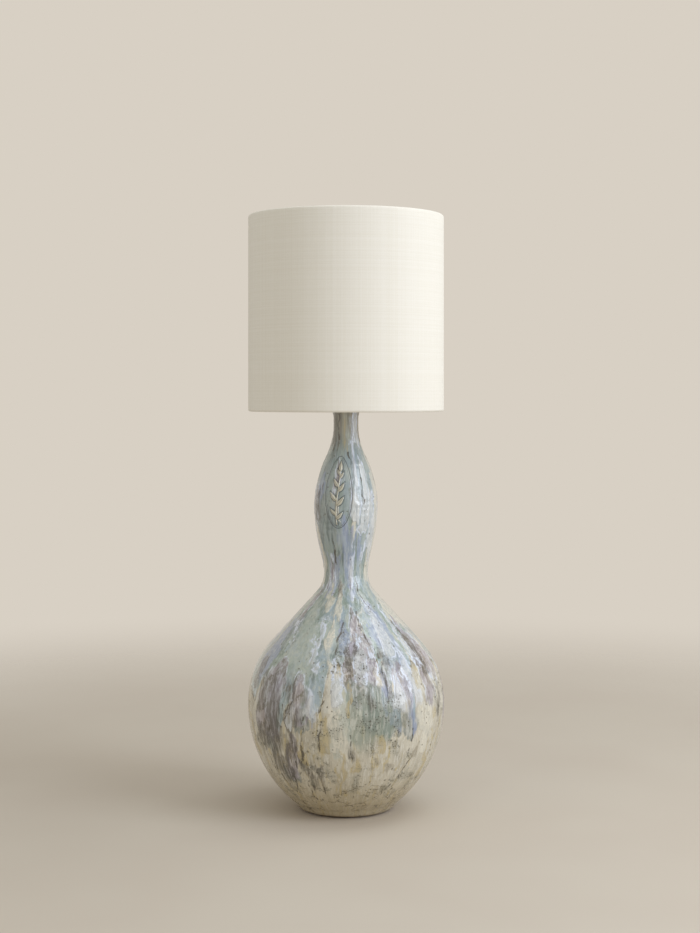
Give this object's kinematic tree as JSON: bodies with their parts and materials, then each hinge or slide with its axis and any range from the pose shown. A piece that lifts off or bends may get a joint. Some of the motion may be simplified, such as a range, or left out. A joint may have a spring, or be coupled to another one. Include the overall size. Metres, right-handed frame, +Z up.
{
  "type": "table lamp",
  "caption": "Table lamp with a hollow double-gourd stoneware body, drum shade on a harp, turn-knob socket and bulb.",
  "frame": {"origin": "middle of the felt pad's underside, where the lamp stands on the table", "axes": "+Z up along the lamp's axis; -Y towards the front, where the switch knob points; the harp lies in the X-Z plane"},
  "size_m": [0.2579, 0.258, 0.7682],
  "materials": {
    "glaze": "glossy stoneware glaze in vertical runs",
    "felt": "wool felt",
    "rubber": "matt moulded rubber",
    "steel": "zinc-plated steel",
    "brass": "lacquered satin brass",
    "card": "insulating card",
    "phenolic": "moulded phenolic",
    "aluminium": "rolled aluminium",
    "glass": "soft white coated inside",
    "black_glass": "black insulator",
    "linen": "off-white linen",
    "styrene": "translucent backing",
    "white_wire": "white enamel"
  },
  "bodies": {
    "base": {"gourd_body": "glaze", "cord_bush": "rubber", "felt_pad": "felt", "lamp_rod": "steel", "base_washer": "steel", "spring_washer": "steel", "base_nut": "steel", "neck_cap": "brass", "neck_nut": "brass", "harp_saddle": "brass", "socket_cap": "brass", "socket_shell": "brass", "socket_liner": "card", "socket_core": "phenolic", "screw_shell": "brass", "centre_contact": "brass", "terminal_screws": "brass"},
    "switch": {"switch_shaft": "brass", "switch_knob": "phenolic"},
    "bulb": {"bulb_glass": "glass", "bulb_base": "aluminium", "bulb_insulator": "black_glass", "bulb_contact": "steel"},
    "harp_loop": {"harp": "brass", "harp_seat": "brass"},
    "left_sleeve": {"sleeve_left": "brass"},
    "right_sleeve": {"sleeve_right": "brass"},
    "shade": {"shade_fabric": "linen", "shade_backing": "styrene", "shade_top_ring": "white_wire", "shade_bottom_ring": "white_wire", "shade_fitter": "white_wire"},
    "finial_ball": {"finial": "brass"}
  },
  "joints": [
    {"name": "switch_turn", "type": "hinge", "parent": "base", "child": "switch", "pos_m": [0, -0.0181, 0.5547], "axis": [0, -1, 0], "continuous": true},
    {"name": "bulb_out", "type": "slide", "parent": "base", "child": "bulb", "axis": [0, 0, 1], "range_m": [0, 0.028]},
    {"name": "harp_lift", "type": "slide", "parent": "base", "child": "harp_loop", "axis": [0, 0, 1], "range_m": [0, 0.04]},
    {"name": "left_sleeve_lift", "type": "slide", "parent": "harp_loop", "child": "left_sleeve", "axis": [0, 0, 1], "range_m": [0, 0.017]},
    {"name": "right_sleeve_lift", "type": "slide", "parent": "harp_loop", "child": "right_sleeve", "axis": [0, 0, 1], "range_m": [0, 0.017]},
    {"name": "shade_turn", "type": "hinge", "parent": "harp_loop", "child": "shade", "pos_m": [0, 0, 0.74345], "axis": [0, 0, 1], "continuous": true},
    {"name": "finial_off", "type": "slide", "parent": "harp_loop", "child": "finial_ball", "axis": [0, 0, 1], "range_m": [0, 0.03]}
  ]
}
